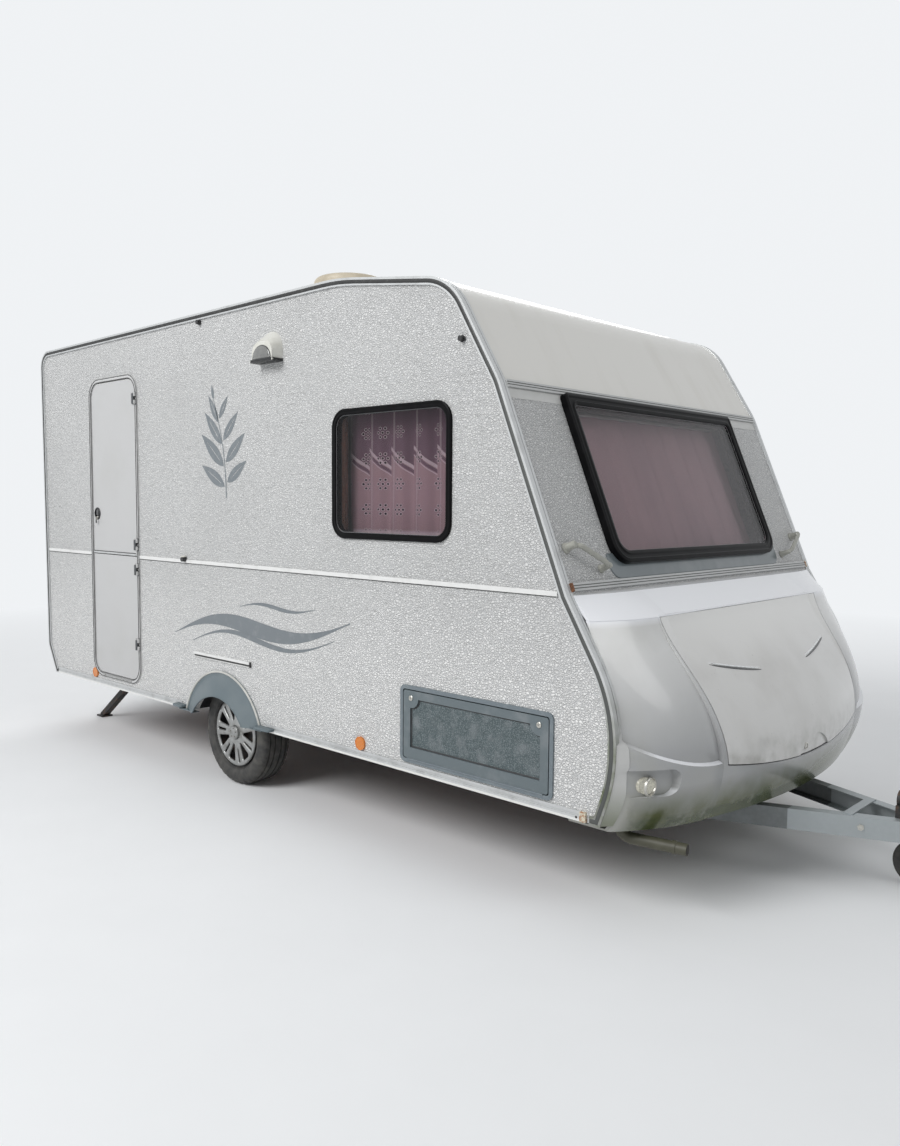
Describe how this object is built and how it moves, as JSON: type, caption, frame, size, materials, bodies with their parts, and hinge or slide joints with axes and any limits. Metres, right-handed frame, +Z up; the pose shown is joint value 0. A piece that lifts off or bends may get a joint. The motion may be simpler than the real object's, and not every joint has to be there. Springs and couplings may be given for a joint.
{
  "type": "travel caravan",
  "caption": "Single-axle travel caravan with sloping front, stable door, gas locker nose, side hatch, A-frame drawbar, jockey wheel and lowered rear steadies.",
  "frame": {"origin": "middle of the footprint on the ground the caravan is parked on", "axes": "+X forward along the drawbar, -Y the door side, +Z up"},
  "size_m": [6.08, 2.418, 2.8435],
  "materials": {
    "hammered_wall": "white stucco-embossed sheet",
    "roof_sheet": "white painted sheet",
    "cap_moulding": "cream glass-fibre moulding",
    "nose_moulding": "white glass-fibre moulding",
    "plywood": "sealed plywood sandwich",
    "bright_rail": "satin extrusion",
    "grey_plastic": "grained grey moulding",
    "black_plastic": "black moulding",
    "black_frame": "black window surround",
    "tinted_pane": "tinted acrylic",
    "curtain_cloth": "printed lace",
    "white_plastic": "aged white moulding",
    "door_frame": "white painted extrusion with black seal",
    "door_skin": "smooth off-white skin",
    "galvanised": "hot-dip galvanised",
    "tyre": "road tyre",
    "wheel_steel": "black steel disc",
    "silver_cover": "silver cover",
    "dark_iron": "dark brake and steady parts",
    "rubber": "solid rubber",
    "clear_lens": "clear lens",
    "amber_lens": "amber reflector",
    "red_lens": "red lens",
    "vent_plastic": "sun-aged cream plastic"
  },
  "bodies": {
    "caravan": {"side_upper_right": "hammered_wall", "side_upper_left": "hammered_wall", "side_lower_right": "hammered_wall", "side_lower_left": "hammered_wall", "rear_wall": "hammered_wall", "front_wall": "hammered_wall", "roof": "roof_sheet", "front_cap": "cap_moulding", "bulkhead": "plywood", "floor": "plywood", "nose": "nose_moulding", "edge_rails": "bright_rail", "belt_rails": "bright_rail", "skirt_rails": "bright_rail", "front_trims": "bright_rail", "wheel_spats": "grey_plastic", "wheel_wells": "black_plastic", "window_frames": "black_frame", "window_panes": "tinted_pane", "curtains": "curtain_cloth", "curtain_rails": "white_plastic", "door_frame": "door_frame", "hatch_frame": "grey_plastic", "chassis_rails": "galvanised", "drawbar_rails": "galvanised", "cross_members": "galvanised", "axle": "galvanised", "coupling_head": "galvanised", "overrun_device": "dark_iron", "handbrake_lever": "black_plastic", "jockey_tube": "galvanised", "corner_steadies": "dark_iron", "front_lamps": "clear_lens", "reflectors": "amber_lens", "rear_lights": "red_lens", "rear_panel": "nose_moulding", "grab_handles": "white_plastic", "awning_lamp": "white_plastic", "roof_vent": "vent_plastic", "drain_pipe": "white_plastic", "wall_knobs": "black_plastic", "fridge_vents": "white_plastic", "rooflight": "white_plastic"},
    "door_upper": {"door_upper": "door_skin", "door_handle": "black_plastic"},
    "door_lower": {"door_lower": "door_skin"},
    "hatch": {"hatch_door": "grey_plastic"},
    "locker_lid": {"locker_lid": "nose_moulding"},
    "wheel_right": {"tyre_right": "tyre", "rim_right": "wheel_steel", "wheel_cover_right": "silver_cover", "brake_drum_right": "dark_iron"},
    "wheel_left": {"tyre_left": "tyre", "rim_left": "wheel_steel", "wheel_cover_left": "silver_cover", "brake_drum_left": "dark_iron"},
    "jockey_fork": {"jockey_fork": "galvanised"},
    "jockey_wheel": {"jockey_wheel": "rubber"}
  },
  "joints": [
    {"name": "wheel_right_spin", "type": "hinge", "parent": "caravan", "child": "wheel_right", "pos_m": [-0.7, -1.012, 0.298], "axis": [0, 1, 0], "continuous": true},
    {"name": "wheel_left_spin", "type": "hinge", "parent": "caravan", "child": "wheel_left", "pos_m": [-0.7, 1.012, 0.298], "axis": [0, 1, 0], "continuous": true},
    {"name": "door_upper_hinge", "type": "hinge", "parent": "caravan", "child": "door_upper", "pos_m": [-1.6695, -1.172, 1.8], "axis": [0, 0, 1], "range_deg": [0, 170]},
    {"name": "door_lower_hinge", "type": "hinge", "parent": "caravan", "child": "door_lower", "pos_m": [-1.6695, -1.172, 0.95], "axis": [0, 0, 1], "range_deg": [0, 170]},
    {"name": "hatch_hinge", "type": "hinge", "parent": "caravan", "child": "hatch", "pos_m": [1.17, -1.158, 0.446], "axis": [1, 0, 0], "range_deg": [0, 160]},
    {"name": "locker_lid_hinge", "type": "hinge", "parent": "caravan", "child": "locker_lid", "pos_m": [1.847, 0, 1.165], "axis": [0, -1, 0], "range_deg": [0, 85]},
    {"name": "jockey_swivel", "type": "hinge", "parent": "caravan", "child": "jockey_fork", "pos_m": [2.66, 0.104, 0.2147], "axis": [0, 0, 1], "continuous": true},
    {"name": "jockey_wheel_spin", "type": "hinge", "parent": "jockey_fork", "child": "jockey_wheel", "pos_m": [2.615, 0.104, 0.1], "axis": [0, 1, 0], "continuous": true}
  ]
}
